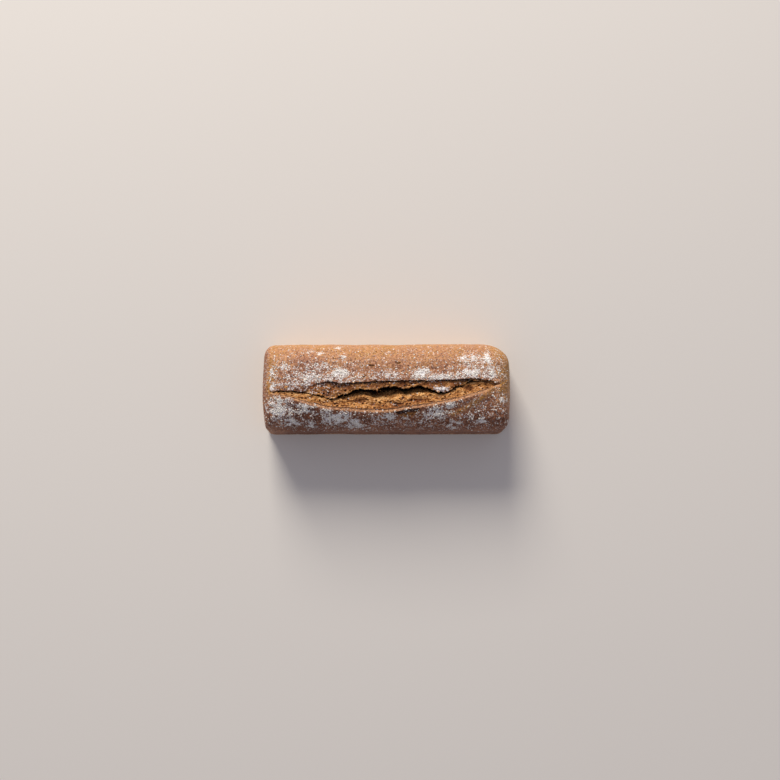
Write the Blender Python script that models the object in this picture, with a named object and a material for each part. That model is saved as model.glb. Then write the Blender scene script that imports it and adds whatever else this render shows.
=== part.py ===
"""A brown loaf baked in a long tin, its top torn open from end to end.

Blender 4.5, metres, +Z up. The loaf lies along X and stands on z = 0 with its
middle over the origin. Its far side is +Y and its near side is -Y.

The loaf is one solid. A box is rounded into the loaf's outer form, and one
cutter, whose underside is the torn surface, opens the split in its top. A
second, small cutter opens the short tear beside the split.
"""

import math

import bmesh
import bpy
from mathutils import Matrix, Vector, noise

# The loaf's outer form
LENGTH = 0.276
WIDTH = 0.103
WALL_TOP = 0.061
CROWN_RISE = 0.0135
CROWN_END_DROP = 0.25
NEAR_CORNER = 0.013
FAR_LEFT_CORNER = 0.017
FAR_RIGHT_CORNER = 0.028
# How much squarer than an ellipse the corners are, at the left end and at the right
NEAR_SQUARE = (2.8, 0.8)
FAR_SQUARE = (1.2, 0.0)
SHOULDER_WIDTH = 0.022
SHOULDER_DROP = 0.030
BASE_ROUND = 0.005
WALL_BELLY = 0.0016
BELLY_HEIGHT = 0.030
NEAR_LEAN = 0.0030
NEAR_LEAN_FROM = 0.006
NEAR_LEAN_TO = 0.034
FAR_TAPER = 0.0012
SKIRT_FLARE = 0.0010
SKIRT_FLARE_NEAR = 0.0022
SKIRT_HEIGHT = 0.0060
END_BULGE = 0.0020
LUMP_HEIGHT = 0.0011
LUMP_SPACING = 0.034
LUMPS_FROM = 0.012

# Edges of the split seen from above, each as (x, y) from the left end
FAR_LIP = (
    (-0.126, 0.0002),
    (-0.100, 0.0047),
    (-0.076, 0.0076),
    (-0.064, 0.0093),
    (-0.046, 0.0080),
    (-0.014, 0.0097),
    (0.023, 0.0107),
    (0.060, 0.0112),
    (0.078, 0.0118),
    (0.092, 0.0130),
    (0.104, 0.0122),
    (0.123, 0.0094),
)
LEDGE_LIP = (
    (-0.126, -0.0016),
    (-0.089, -0.0036),
    (-0.070, -0.0064),
    (-0.061, -0.0092),
    (-0.051, -0.0058),
    (-0.041, -0.0032),
    (-0.036, -0.0002),
    (-0.029, 0.0014),
    (-0.018, 0.0004),
    (-0.011, 0.0004),
    (-0.006, 0.0028),
    (0.002, 0.0040),
    (0.008, 0.0048),
    (0.013, 0.0038),
    (0.018, 0.0016),
    (0.023, 0.0018),
    (0.028, 0.0042),
    (0.036, 0.0048),
    (0.044, 0.0034),
    (0.051, 0.0004),
    (0.058, -0.0022),
    (0.063, -0.0030),
    (0.069, 0.0000),
    (0.077, 0.0036),
    (0.085, 0.0062),
    (0.093, 0.0110),
    (0.105, 0.0107),
    (0.123, 0.0088),
)
# The brink, where the torn slope turns down under the ledge
BRINK = (
    (-0.126, -0.0028),
    (-0.100, -0.0038),
    (-0.089, -0.0050),
    (-0.076, -0.0068),
    (-0.064, -0.0103),
    (-0.056, -0.0113),
    (-0.046, -0.0096),
    (-0.036, -0.0080),
    (-0.026, -0.0066),
    (-0.020, -0.0070),
    (-0.013, -0.0100),
    (-0.006, -0.0086),
    (0.009, -0.0074),
    (0.015, -0.0048),
    (0.022, -0.0066),
    (0.029, -0.0044),
    (0.040, -0.0034),
    (0.050, -0.0044),
    (0.058, -0.0058),
    (0.064, -0.0052),
    (0.072, -0.0026),
    (0.080, 0.0012),
    (0.090, 0.0050),
    (0.105, 0.0082),
    (0.123, 0.0082),
)
NEAR_LIP = (
    (-0.126, -0.0044),
    (-0.108, -0.0083),
    (-0.089, -0.0142),
    (-0.070, -0.0192),
    (-0.052, -0.0215),
    (-0.033, -0.0230),
    (-0.014, -0.0238),
    (0.004, -0.0236),
    (0.023, -0.0204),
    (0.047, -0.0170),
    (0.060, -0.0142),
    (0.078, -0.0108),
    (0.093, -0.0063),
    (0.103, -0.0033),
    (0.111, -0.0003),
    (0.123, 0.0055),
)

# Depths of the split below the crown, each as (x, depth)
FLOOR_DEPTH = (
    (-0.128, 0.0018),
    (-0.120, 0.0030),
    (-0.095, 0.0045),
    (-0.075, 0.0060),
    (-0.062, 0.0075),
    (-0.050, 0.0110),
    (-0.030, 0.0150),
    (0.000, 0.0190),
    (0.035, 0.0185),
    (0.055, 0.0150),
    (0.070, 0.0115),
    (0.085, 0.0085),
    (0.105, 0.0070),
    (0.119, 0.0045),
    (0.125, 0.0020),
)
LEDGE_DEPTH = (
    (-0.128, 0.0006),
    (-0.076, 0.0008),
    (-0.068, 0.0013),
    (-0.055, 0.0019),
    (-0.040, 0.0021),
    (0.050, 0.0022),
    (0.062, 0.0016),
    (0.075, 0.0024),
    (0.090, 0.0040),
    (0.105, 0.0040),
    (0.119, 0.0026),
    (0.125, 0.0010),
)
BRINK_SLOPE = 0.45
SPLIT_START = FLOOR_DEPTH[0][0]
SPLIT_END = FLOOR_DEPTH[-1][0]
END_LIFT = 0.004
END_RUN = 0.008
NARROWEST = 0.0015
LIP_OVERHANG = 0.0030
LEAST_OVERHANG = 0.2
LEDGE_OVERHANG = 0.0066
CUTTER_ABOVE = 0.012
# The crust curls up along both lips, highest a little outside each
NEAR_CURL = 0.0026
FAR_CURL = 0.0007
CURL_WIDTH = 0.0060
CURL_SET = 0.0018
CURL_RUN = 0.030

# Relief of the torn crumb: rounded crags, and ridges that follow the tear
CRAG_HEIGHT = 0.0026
CRAG_SPACING = 0.0080
RIDGE_HEIGHT = 0.0020
RIDGE_LENGTH = 0.025
RIDGE_SPACING = 0.0067
RELIEF_FROM = 0.008

# The short second tear in the crust outside the near lip
SIDE_TEAR_CENTRE = (0.0240, -0.0248)
SIDE_TEAR_SIZE = (0.028, 0.0090, 0.0056)
SIDE_TEAR_TURN = math.radians(10)
SIDE_TEAR_STEEP = 0.45

# How finely each shape is cut up
BODY_CUTS = {"X": 57, "Y": 17, "Z": 8}
CUTTER_CUTS = {"X": 100, "Y": 27}
CROWD_LENGTH = 0.78
CROWD_WIDTH = 0.45
CROWD_SPLIT = 0.5

HALF_LENGTH = LENGTH / 2
HALF_WIDTH = WIDTH / 2
# The near side flares more at the base and the far side tapers, so the body is moved back to
# keep it in the middle.
MOVED_BACK = (SKIRT_FLARE_NEAR + FAR_TAPER) / 4
TINY = 1e-6


def along(keys, x):
    """Value at x of the smooth curve through keys, held flat past its ends."""
    if x <= keys[0][0]:
        return keys[0][1]
    if x >= keys[-1][0]:
        return keys[-1][1]
    right = next(i for i, key in enumerate(keys) if key[0] >= x)
    left = right - 1

    def slope(i):
        before, after = keys[max(i - 1, 0)], keys[min(i + 1, len(keys) - 1)]
        return (after[1] - before[1]) / (after[0] - before[0])

    (x0, y0), (x1, y1) = keys[left], keys[right]
    span = x1 - x0
    t = (x - x0) / span
    start, end = slope(left) * span, slope(right) * span
    bend = 2 * (y0 - y1) + start + end
    return y0 + t * (start + t * (3 * (y1 - y0) - 2 * start - end + t * bend))


def clamp(value, lowest, highest):
    return min(highest, max(lowest, value))


def smooth(edge0, edge1, value):
    """0 before edge0, 1 past edge1 and an S-curve between them."""
    t = clamp((value - edge0) / (edge1 - edge0), 0.0, 1.0)
    return t * t * (3 - 2 * t)


def from_split_end(x):
    """How far x lies inside the nearer end of the split."""
    return min(x - SPLIT_START, SPLIT_END - x)


def lumps(point):
    """Slow unevenness of the dough, from about -1 to 1."""
    return noise.noise(point / LUMP_SPACING + Vector((3.1, 0.7, 5.3)))


def crown(x, y):
    """How far the domed top rises above the walls' top at x, y."""
    across = max(0.0, 1 - (y / HALF_WIDTH) ** 2)
    lengthways = 1 - CROWN_END_DROP * (x / HALF_LENGTH) ** 4
    off_near = (y - along(NEAR_LIP, x) + CURL_SET) / CURL_WIDTH
    off_far = (y - along(FAR_LIP, x) - CURL_SET) / CURL_WIDTH
    curl = NEAR_CURL * math.exp(-(off_near**2)) + FAR_CURL * math.exp(-(off_far**2))
    return CROWN_RISE * across * lengthways + curl * smooth(0.0, CURL_RUN, from_split_end(x))


def rounded(point):
    """Rounds the box's corners and edges: a deep shoulder above, a tight edge at the base."""
    x, y, z = point
    far_corner = FAR_LEFT_CORNER if x < 0 else FAR_RIGHT_CORNER
    corner = NEAR_CORNER + (far_corner - NEAR_CORNER) * smooth(-HALF_WIDTH, HALF_WIDTH, y)
    core_x = clamp(x, corner - HALF_LENGTH, HALF_LENGTH - corner)
    core_y = clamp(y, SHOULDER_WIDTH - HALF_WIDTH, HALF_WIDTH - SHOULDER_WIDTH)
    # Each distance is 0 over the core and 1 at the loaf's outline.
    out_x, out_y = abs(x - core_x) / corner, abs(y - core_y) / SHOULDER_WIDTH
    end = 0 if x < 0 else 1
    near_side, far_side = smooth(0.0, 1.0, -y / HALF_WIDTH), smooth(0.0, 1.0, y / HALF_WIDTH)
    squarer = NEAR_SQUARE[end] * near_side + FAR_SQUARE[end] * far_side
    power = 2 + squarer * smooth(0.0, 1.0, abs(x) / HALF_LENGTH)
    out, box_out = (out_x**power + out_y**power) ** (1 / power), max(out_x, out_y)
    up = max(0.0, (z - WALL_TOP + SHOULDER_DROP) / SHOULDER_DROP)
    share = 1.0
    if up > 0 and max(box_out, up) > 1 - TINY:
        share = 1 / math.hypot(out, up)
        z += SHOULDER_DROP * up * (share - 1)
    elif up == 0 and out > TINY:
        share = box_out / out
        inset = (1 - box_out) * corner
        side, low = max(0.0, BASE_ROUND - inset), max(0.0, BASE_ROUND - z)
        if side > 0 and low > 0:
            fit = BASE_ROUND / math.hypot(side, low)
            z = BASE_ROUND - low * fit
            share *= 1 - (BASE_ROUND - side * fit - inset) / corner / box_out
    return Vector((core_x + (x - core_x) * share, core_y + (y - core_y) * share, z))


def on_loaf(point):
    """Moves a point of the box to the loaf's outer form."""
    x, y, z = rounded(point)
    side = clamp(y / HALF_WIDTH, -1, 1)
    end = clamp(x / HALF_LENGTH, -1, 1)
    near_side, far_side = smooth(0.3, 1.0, -side), smooth(0.3, 1.0, side)
    swell = 1 - ((z - BELLY_HEIGHT) / WALL_TOP) ** 2
    flare = SKIRT_FLARE + SKIRT_FLARE_NEAR * near_side
    skirt = flare * math.exp(-((z / SKIRT_HEIGHT) ** 2))
    bulge = END_BULGE * end**3 * (1 - side**2) * swell
    belly = WALL_BELLY * (swell - 1) * side**3
    lean = NEAR_LEAN * near_side * smooth(NEAR_LEAN_FROM, NEAR_LEAN_TO, z)
    taper = FAR_TAPER * far_side * (1 - end) / 2
    risen = crown(x, y + MOVED_BACK) * smooth(0.0, WALL_TOP, z)
    y += belly + lean - taper + skirt * side**5 + MOVED_BACK
    return Vector((x + bulge + skirt * end**9, y, z + risen))


def torn_section(x):
    """Corners (y, depth) of the torn surface at x, from the near lip to the far."""
    near, brink, ledge, far = (along(keys, x) for keys in (NEAR_LIP, BRINK, LEDGE_LIP, FAR_LIP))
    floor = along(FLOOR_DEPTH, x)
    shelf = along(LEDGE_DEPTH, x)
    ledge = min(ledge, far - NARROWEST)
    brink = min(brink, ledge - NARROWEST)
    near = min(near, brink - NARROWEST)
    slope, plunge, tongue, gap = brink - near, ledge - brink, far - ledge, floor - shelf
    brink_depth = shelf + BRINK_SLOPE * plunge
    # The overhangs fade out at the split's ends, and where it is shallow or its ledge is narrow.
    opened = smooth(0.0, END_RUN, from_split_end(x))
    hollow = LEDGE_OVERHANG * smooth(0.0, 0.008, gap) * smooth(0.001, 0.006, tongue) * opened
    tucked = LIP_OVERHANG * max(LEAST_OVERHANG, smooth(0.0, 0.005, shelf)) * opened
    return (
        (near, -CUTTER_ABOVE),
        (near, shelf * 0.12),
        (near + slope * 0.22, brink_depth * 0.26),
        (near + slope * 0.58, brink_depth * 0.60),
        (brink, brink_depth),
        (brink + plunge * 0.50, brink_depth + (floor - brink_depth) * 0.75),
        (ledge + hollow * 0.4, floor),
        (ledge + hollow, shelf + gap * 0.65),
        (ledge + hollow * 0.35, shelf + gap * 0.30),
        (ledge, shelf + gap * 0.10),
        (ledge + tongue * 0.25, shelf * 0.84),
        (ledge + tongue * 0.75, shelf * 0.95),
        (far + tucked, shelf * 1.10),
        (far + tucked * 0.5, shelf * 0.55),
        (far, shelf * 0.12),
        (far, -CUTTER_ABOVE),
    )


def end_lift(x):
    """How far the cutter's underside is raised at x, so that it leaves the loaf at its ends."""
    return END_LIFT * (1 - smooth(0.0, END_RUN, from_split_end(x)))


def crags(x, y):
    """Relief of the torn crumb at x, y."""
    crag = noise.noise(Vector((x * 0.6, y, 0.0)) / CRAG_SPACING)
    ridge = abs(noise.noise(Vector((x / RIDGE_LENGTH, y / RIDGE_SPACING, 2.7))))
    return crag * CRAG_HEIGHT + ridge * RIDGE_HEIGHT


def on_tear(x, share):
    """Point of the torn surface at x, share of the way from the near lip (0) to the far (1)."""
    corners = torn_section(x)
    last = len(corners) - 1
    i = min(int(share * last), last - 1)
    t = share * last - i
    # The raised corners at both ends bend only their own spans.
    lowest, highest = min(i, 1), max(i + 1, last - 1)
    four = [corners[clamp(j, lowest, highest)] for j in (i - 1, i, i + 1, i + 2)]
    y, depth = (
        0.5 * (2 * b + t * (c - a + t * (2 * a - 5 * b + 4 * c - d + t * (3 * b - a - 3 * c + d))))
        for a, b, c, d in zip(*four)
    )
    # The corners spread out evenly at the split's ends, so that none doubles back there.
    even = corners[0][0] + (corners[-1][0] - corners[0][0]) * share
    y = even + (y - even) * smooth(0.0, END_RUN, from_split_end(x))
    rim = WALL_TOP + crown(x, clamp(y, corners[0][0], corners[-1][0]))
    relief = crags(x, y) * smooth(0.0, RELIEF_FROM, depth)
    return Vector((x, y, rim - depth + relief + end_lift(x)))


def divided_box(cuts):
    """A 2 x 2 x 2 box as a bmesh, each of its edges cut evenly along its own axis."""
    mesh = bmesh.new()
    bmesh.ops.create_cube(mesh, size=2)
    for axis, count in cuts.items():
        i = "XYZ".index(axis)
        edges = [e for e in mesh.edges if abs(e.verts[0].co[i] - e.verts[1].co[i]) > 1]
        bmesh.ops.subdivide_edges(mesh, edges=edges, cuts=count, use_grid_fill=True)
    return mesh


def crowded(share, much):
    """Moves a share from -1 to 1 towards the nearer end, so that vertices gather there."""
    return (1 - much) * share + much * math.sin(share * math.pi / 2)


def material(name, colour, roughness):
    made = bpy.data.materials.new(name)
    made.use_nodes = True
    shader = made.node_tree.nodes["Principled BSDF"]
    shader.inputs["Base Color"].default_value = (*colour, 1)
    shader.inputs["Roughness"].default_value = roughness
    shader.inputs["Metallic"].default_value = 0
    return made


def add_object(name, mesh, collection, finish):
    data = bpy.data.meshes.new(name)
    mesh.to_mesh(data)
    mesh.free()
    data.materials.append(finish)
    made = bpy.data.objects.new(name, data)
    collection.objects.link(made)
    return made


def add_cutter(name, mesh, collection, finish):
    cutter = add_object(name, mesh, collection, finish)
    cutter.hide_render = True
    cutter.display_type = "WIRE"
    return cutter


def make_body(collection, finish):
    """The loaf before it is split, with one flat face to stand on."""
    mesh = divided_box(BODY_CUTS)
    for vert in mesh.verts:
        u, v, w = vert.co
        x = crowded(u, CROWD_LENGTH) * HALF_LENGTH
        y = crowded(v, CROWD_WIDTH) * HALF_WIDTH
        z = (crowded(w, CROWD_SPLIT) + 1) / 2 * WALL_TOP
        vert.co = on_loaf((x, y, z))
    mesh.normal_update()
    for vert in mesh.verts:
        vert.co += vert.normal * lumps(vert.co) * LUMP_HEIGHT * smooth(0.0, LUMPS_FROM, vert.co.z)
    flat = [f for f in mesh.faces if all(v.co.z < TINY for v in f.verts)]
    bmesh.ops.dissolve_faces(mesh, faces=flat)
    return add_object("loaf", mesh, collection, finish)


def make_tear_cutter(collection, finish):
    """Fills the split, so its underside is the torn surface and its top is clear of the loaf."""
    mesh = divided_box(CUTTER_CUTS)
    for vert in mesh.verts:
        u, v, w = vert.co
        x = SPLIT_START + (SPLIT_END - SPLIT_START) * (crowded(u, CROWD_SPLIT) + 1) / 2
        share = (v + 1) / 2
        torn = on_tear(x, share)
        if w > 0:
            near, far = on_tear(x, 0.0).y, on_tear(x, 1.0).y
            torn = Vector((x, near + (far - near) * share, WALL_TOP + CROWN_RISE + 2 * CUTTER_ABOVE))
        vert.co = torn
    bmesh.ops.recalc_face_normals(mesh, faces=mesh.faces)
    return add_cutter("tear_cutter", mesh, collection, finish)


def make_side_tear_cutter(collection, finish):
    """A lens that opens the short second tear, its steeper wall towards the split."""
    mesh = bmesh.new()
    bmesh.ops.create_uvsphere(mesh, u_segments=20, v_segments=8, radius=0.5)
    for vert in mesh.verts:
        pointed = 1 - abs(2 * vert.co.x) ** 3
        vert.co.y *= pointed * (SIDE_TEAR_STEEP if vert.co.y > 0 else 1.0)
    x, y = SIDE_TEAR_CENTRE
    place = Matrix.Translation((x, y, WALL_TOP + crown(x, y)))
    turn = Matrix.Rotation(SIDE_TEAR_TURN, 4, "Z")
    mesh.transform(place @ turn @ Matrix.Diagonal((*SIDE_TEAR_SIZE, 1)))
    return add_cutter("side_tear_cutter", mesh, collection, finish)


def main():
    for obj in list(bpy.data.objects):
        bpy.data.objects.remove(obj)
    parts = bpy.data.collections.new("split_loaf")
    cutters = bpy.data.collections.new("cutters")
    for collection in (parts, cutters):
        bpy.context.scene.collection.children.link(collection)
    crust = material("baked_crust", (0.36, 0.17, 0.065), 0.8)
    crumb = material("torn_crumb", (0.50, 0.25, 0.09), 0.95)
    loaf = make_body(parts, crust)
    for make_cutter in (make_tear_cutter, make_side_tear_cutter):
        cutter = make_cutter(cutters, crumb)
        cut = loaf.modifiers.new(cutter.name, "BOOLEAN")
        cut.operation = "DIFFERENCE"
        cut.solver = "EXACT"
        cut.material_mode = "TRANSFER"
        cut.object = cutter
    loaf.data.shade_smooth()
    loaf.data.set_sharp_from_angle(angle=math.radians(50))


main()
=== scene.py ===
import collections
import functools
import math
import random

import bmesh
import bpy
from mathutils import Matrix, Vector, noise
from mathutils.bvhtree import BVHTree


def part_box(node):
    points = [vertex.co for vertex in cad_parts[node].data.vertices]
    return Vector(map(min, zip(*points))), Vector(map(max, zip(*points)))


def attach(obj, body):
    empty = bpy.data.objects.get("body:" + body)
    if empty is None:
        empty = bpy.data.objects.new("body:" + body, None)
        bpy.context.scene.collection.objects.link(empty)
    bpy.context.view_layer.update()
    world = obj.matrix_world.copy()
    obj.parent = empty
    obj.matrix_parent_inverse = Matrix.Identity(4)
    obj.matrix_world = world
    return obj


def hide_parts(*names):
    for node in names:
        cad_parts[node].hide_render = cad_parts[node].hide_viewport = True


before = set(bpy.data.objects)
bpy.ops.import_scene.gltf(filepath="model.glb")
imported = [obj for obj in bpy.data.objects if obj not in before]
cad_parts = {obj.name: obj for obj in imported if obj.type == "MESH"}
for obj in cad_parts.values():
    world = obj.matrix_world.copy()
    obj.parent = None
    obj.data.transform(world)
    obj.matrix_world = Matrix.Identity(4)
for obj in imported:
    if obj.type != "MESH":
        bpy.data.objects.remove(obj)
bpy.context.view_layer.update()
lowCorner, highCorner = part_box("loaf")
mm = 0.001
print("frame loaded, the loaf is", [round(side / mm) for side in highCorner - lowCorner], "mm")


# The loaf's form. Everything is in metres, seen from above: x along the loaf, +y its far side.

loafForm = {
    "halfLength": 0.1380,
    "halfWidth": 0.0515,
    "wallTop": 0.0610,
    "crownRise": 0.0129,
    "crownEndDrop": 0.25,
    "nearCorner": 0.013,
    "farLeftCorner": 0.017,
    "farRightCorner": 0.028,
    "nearSquare": (2.8, 0.8),    # how much squarer than an ellipse, at the left end and at the right
    "farSquare": (1.2, 0.0),
    "shoulderWidth": 0.022,
    "shoulderDrop": 0.030,
    "baseRound": 0.005,
    "wallBelly": 0.0016,
    "bellyHeight": 0.030,
    "nearLean": 0.0030,
    "nearLeanFrom": 0.006,
    "nearLeanTo": 0.034,
    "farTaper": 0.0012,
    "skirtFlare": 0.0010,
    "skirtFlareNear": 0.0022,
    "skirtHeight": 0.0060,
    "endBulge": 0.0020,
    "lumpHeight": 0.0011,
    "lumpSpacing": 0.034,
    "lumpsFrom": 0.012,
    "blister": 0.0003,
    "blisterSpacing": 0.011,
}
# the near side flares more at the base and the far side tapers, so the loaf is moved back to its middle
movedBack = (loafForm["skirtFlareNear"] + loafForm["farTaper"]) / 4

splitForm = {
    "farLip": (
        (-0.126, 0.0018), (-0.100, 0.0050), (-0.076, 0.0076), (-0.064, 0.0093),
        (-0.046, 0.0080), (-0.014, 0.0097), (0.023, 0.0107), (0.060, 0.0112),
        (0.078, 0.0118), (0.092, 0.0130), (0.104, 0.0122), (0.123, 0.0094),
    ),
    "ledgeLip": (
        (-0.126, -0.0004), (-0.100, -0.0010), (-0.089, -0.0028), (-0.070, -0.0064), (-0.061, -0.0092),
        (-0.051, -0.0058), (-0.041, -0.0032), (-0.036, -0.0002), (-0.029, 0.0014),
        (-0.018, 0.0004), (-0.011, 0.0004), (-0.006, 0.0028), (0.002, 0.0040),
        (0.008, 0.0048), (0.013, 0.0038), (0.018, 0.0016), (0.023, 0.0018),
        (0.028, 0.0042), (0.036, 0.0048), (0.044, 0.0034), (0.051, 0.0004),
        (0.058, -0.0022), (0.063, -0.0030), (0.069, 0.0000), (0.077, 0.0036),
        (0.085, 0.0062), (0.093, 0.0110), (0.105, 0.0107), (0.123, 0.0088),
    ),
    # where the torn slope turns down under the ledge
    "brink": (
        (-0.126, -0.0024), (-0.100, -0.0031), (-0.089, -0.0046), (-0.076, -0.0068),
        (-0.064, -0.0103), (-0.056, -0.0113), (-0.046, -0.0096), (-0.036, -0.0080),
        (-0.026, -0.0066), (-0.020, -0.0070), (-0.013, -0.0100), (-0.006, -0.0086),
        (0.009, -0.0074), (0.015, -0.0048), (0.022, -0.0066), (0.029, -0.0044),
        (0.040, -0.0034), (0.050, -0.0044), (0.058, -0.0058), (0.064, -0.0052),
        (0.072, -0.0026), (0.080, 0.0012), (0.090, 0.0050), (0.105, 0.0082),
        (0.123, 0.0082),
    ),
    "nearLip": (
        (-0.126, -0.0044), (-0.108, -0.0083), (-0.089, -0.0142), (-0.070, -0.0192),
        (-0.052, -0.0215), (-0.033, -0.0230), (-0.014, -0.0238), (0.004, -0.0236),
        (0.023, -0.0204), (0.047, -0.0170), (0.060, -0.0142), (0.078, -0.0108),
        (0.093, -0.0063), (0.103, -0.0033), (0.111, -0.0003), (0.123, 0.0055),
    ),
    "floorDepth": (
        (-0.128, 0.0018), (-0.120, 0.0030), (-0.095, 0.0045), (-0.075, 0.0060),
        (-0.062, 0.0075), (-0.050, 0.0110), (-0.030, 0.0150), (0.000, 0.0190),
        (0.035, 0.0185), (0.055, 0.0150), (0.070, 0.0110), (0.083, 0.0062),
        (0.105, 0.0052), (0.119, 0.0040), (0.125, 0.0020),
    ),
    "ledgeDepth": (
        (-0.128, 0.0006), (-0.076, 0.0008), (-0.068, 0.0013), (-0.055, 0.0019),
        (-0.040, 0.0021), (0.050, 0.0022), (0.062, 0.0016), (0.075, 0.0024),
        (0.090, 0.0036), (0.105, 0.0034), (0.119, 0.0026), (0.125, 0.0010),
    ),
    "brinkSlope": 0.45,
    "start": -0.128,
    "end": 0.125,
    "endRun": 0.008,
    "narrowest": 0.0021,
    "lipOverhang": 0.0030,
    "leastOverhang": 0.2,
    "ledgeOverhang": 0.0066,
    "nearCurl": 0.0026,
    "farCurl": 0.0007,
    "curlWidth": 0.0060,
    "curlSet": 0.0018,
    "curlRun": 0.030,
    "roll": 0.0030,           # how far the near crust rolls over its lip into the split
    "rollStart": 0.0006,      # how far outside the lip it starts to drop
    "rollSharpness": 0.0012,
    "mostRolled": 0.3,        # at most this share of the slope's width
    "rollRun": 0.012,
}


def clampTo(value, lowest, highest):
    return min(highest, max(lowest, value))


def smooth(start, stop, value):
    t = clampTo((value - start) / (stop - start), 0.0, 1.0)
    return t * t * (3 - 2 * t)


def mix(a, b, share):
    return a + (b - a) * share


def alongKeys(keys, x):
    # the smooth curve through the keys, held flat past its ends
    if x <= keys[0][0]:
        return keys[0][1]
    if x >= keys[-1][0]:
        return keys[-1][1]
    right = next(i for i, key in enumerate(keys) if key[0] >= x)
    left = right - 1

    def slope(i):
        before, after = keys[max(i - 1, 0)], keys[min(i + 1, len(keys) - 1)]
        return (after[1] - before[1]) / (after[0] - before[0])

    (x0, y0), (x1, y1) = keys[left], keys[right]
    span = x1 - x0
    t = (x - x0) / span
    rise, fall = slope(left) * span, slope(right) * span
    bend = 2 * (y0 - y1) + rise + fall
    return y0 + t * (rise + t * (3 * (y1 - y0) - 2 * rise - fall + t * bend))


@functools.lru_cache(maxsize=None)
def along(name, x):
    return alongKeys(splitForm[name], x)


def bumps(x, y, z, spacing):
    # smooth noise, about -1 to 1, with lumps of that spacing
    return noise.noise(Vector((x / spacing, y / spacing, z / spacing)))


# The waves of a torn edge, from wide to fine: (length, how far it swings, where its noise is read)
tornWaves = ((0.0085, 0.9, 0.3), (0.0032, 0.7, 7.1), (0.0013, 0.45, 3.9))


@functools.lru_cache(maxsize=None)
def ragged(x, seed):
    # how far a torn edge wanders at x, about -1 to 1
    return sum(swing * noise.noise(Vector((x / length, seed, start))) for length, swing, start in tornWaves)


def fromSplitEnd(x):
    return min(x - splitForm["start"], splitForm["end"] - x)


def crownRise(x, y):
    form = loafForm
    across = max(0.0, 1 - (y / form["halfWidth"]) ** 2)
    lengthways = 1 - form["crownEndDrop"] * (x / form["halfLength"]) ** 4
    offNear = (y - along("nearLip", x) + splitForm["curlSet"]) / splitForm["curlWidth"]
    offFar = (y - along("farLip", x) - splitForm["curlSet"]) / splitForm["curlWidth"]
    curl = splitForm["nearCurl"] * math.exp(-(offNear**2)) + splitForm["farCurl"] * math.exp(-(offFar**2))
    return form["crownRise"] * across * lengthways + curl * smooth(0, splitForm["curlRun"], fromSplitEnd(x))


def roundedBox(x, y, z):
    # rounds a box's corners and edges: a deep shoulder above, a tight edge at the base
    form = loafForm
    halfLength, halfWidth = form["halfLength"], form["halfWidth"]
    farCorner = form["farLeftCorner"] if x < 0 else form["farRightCorner"]
    corner = mix(form["nearCorner"], farCorner, smooth(-halfWidth, halfWidth, y))
    shoulder, drop, baseRound = form["shoulderWidth"], form["shoulderDrop"], form["baseRound"]
    coreX = clampTo(x, corner - halfLength, halfLength - corner)
    coreY = clampTo(y, shoulder - halfWidth, halfWidth - shoulder)
    outX, outY = abs(x - coreX) / corner, abs(y - coreY) / shoulder
    end = 0 if x < 0 else 1
    nearSide, farSide = smooth(0, 1, -y / halfWidth), smooth(0, 1, y / halfWidth)
    squarer = form["nearSquare"][end] * nearSide + form["farSquare"][end] * farSide
    power = 2 + squarer * smooth(0, 1, abs(x) / halfLength)
    out, boxOut = (outX**power + outY**power) ** (1 / power), max(outX, outY)
    up = max(0.0, (z - form["wallTop"] + drop) / drop)
    share = 1.0
    if up > 0 and max(boxOut, up) > 1 - 1e-6:
        share = 1 / math.hypot(out, up)
        z += drop * up * (share - 1)
    elif up == 0 and out > 1e-6:
        share = boxOut / out
        inset = (1 - boxOut) * corner
        side, low = max(0.0, baseRound - inset), max(0.0, baseRound - z)
        if side > 0 and low > 0:
            fit = baseRound / math.hypot(side, low)
            z = baseRound - low * fit
            share *= 1 - (baseRound - side * fit - inset) / corner / boxOut
    return coreX + (x - coreX) * share, coreY + (y - coreY) * share, z


def onLoaf(x, y, z):
    # a point of the box, moved to the loaf's outer form
    form = loafForm
    x, y, z = roundedBox(x, y, z)
    side = clampTo(y / form["halfWidth"], -1, 1)
    end = clampTo(x / form["halfLength"], -1, 1)
    nearSide, farSide = smooth(0.3, 1.0, -side), smooth(0.3, 1.0, side)
    swell = 1 - ((z - form["bellyHeight"]) / form["wallTop"]) ** 2
    flare = form["skirtFlare"] + form["skirtFlareNear"] * nearSide
    skirt = flare * math.exp(-((z / form["skirtHeight"]) ** 2))
    bulge = form["endBulge"] * end**3 * (1 - side**2) * swell
    belly = form["wallBelly"] * (swell - 1) * side**3
    lean = form["nearLean"] * nearSide * smooth(form["nearLeanFrom"], form["nearLeanTo"], z)
    taper = form["farTaper"] * farSide * (1 - end) / 2
    risen = crownRise(x, y + movedBack) * smooth(0.0, form["wallTop"], z)
    y += belly + lean - taper + skirt * side**5 + movedBack
    return Vector((x + bulge + skirt * end**9, y, z + risen))


def topHeight(x, y):
    return onLoaf(x, y - movedBack, loafForm["wallTop"]).z


def slowLumps(x, y, z):
    # the dough's slow unevenness, and blisters a finger wide
    spacing = loafForm["lumpSpacing"]
    lump = noise.noise(Vector((x / spacing + 3.1, y / spacing + 0.7, z / spacing + 5.3)))
    blister = bumps(x, y, z + 0.4, loafForm["blisterSpacing"])
    return lump * loafForm["lumpHeight"] + blister * loafForm["blister"]


splitLine = collections.namedtuple("splitLine", "near brink ledge far")
splitDepth = collections.namedtuple("splitDepth", "floor shelf brink hollow tucked")


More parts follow.
